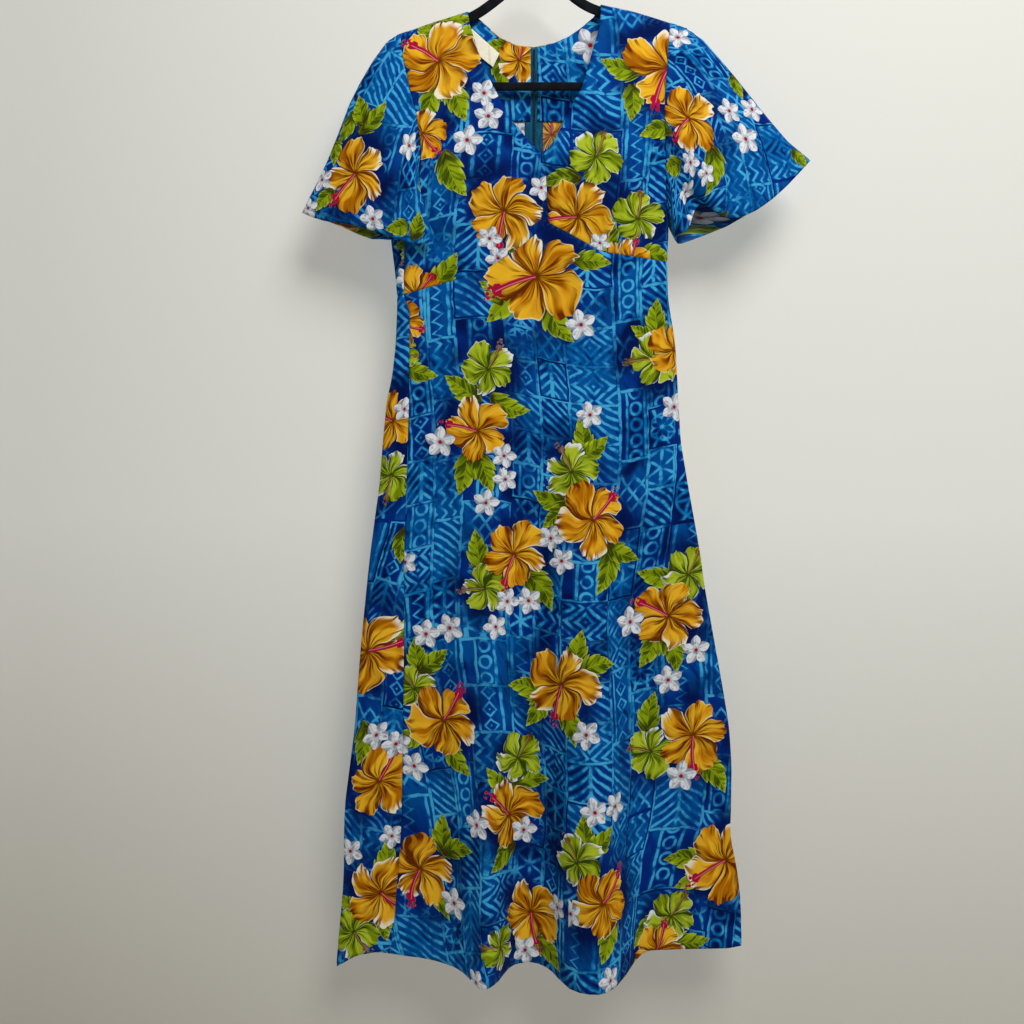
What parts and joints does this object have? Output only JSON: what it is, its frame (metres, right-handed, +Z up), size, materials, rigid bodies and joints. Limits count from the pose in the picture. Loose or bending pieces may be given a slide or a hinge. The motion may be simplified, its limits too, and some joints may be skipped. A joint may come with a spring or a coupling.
{
  "type": "hawaiian maxi dress on a velvet hanger",
  "caption": "Long V-neck maxi dress with flutter sleeves, an empire seam and an all-over hibiscus and leaf print, hanging open at neck, cuffs and hem on a slim velvet hanger with a wire hook.",
  "frame": {"origin": "the inside of the hook's top, where the hanger rests on its rail", "axes": "+Z up along the hanging dress, the front of the dress faces -Y, +X to the right as seen from the front"},
  "size_m": [0.7381, 0.126, 1.5093],
  "materials": {
    "printed_cloth": "soft woven rayon or cotton, printed on the outside",
    "zip_tape_teal": "woven tape",
    "zip_metal": "satin",
    "label_cream": "satin woven, blank",
    "velvet_black": "flocked velvet",
    "hook_steel": "polished"
  },
  "bodies": {
    "root": {"bodice_front_left": "printed_cloth", "bodice_front_right": "printed_cloth", "bodice_back_left": "printed_cloth", "bodice_back_right": "printed_cloth", "skirt_front": "printed_cloth", "skirt_back_left": "printed_cloth", "skirt_back_right": "printed_cloth", "sleeve_left": "printed_cloth", "sleeve_right": "printed_cloth", "neck_facing_left": "printed_cloth", "neck_facing_right": "printed_cloth", "zip_tape_left": "zip_tape_teal", "zip_tape_right": "zip_tape_teal", "zip_slider": "zip_metal", "neck_label": "label_cream", "hanger_arm_left": "velvet_black", "hanger_arm_right": "velvet_black", "hanger_bar": "velvet_black", "hanger_hook": "hook_steel"}
  },
  "joints": []
}
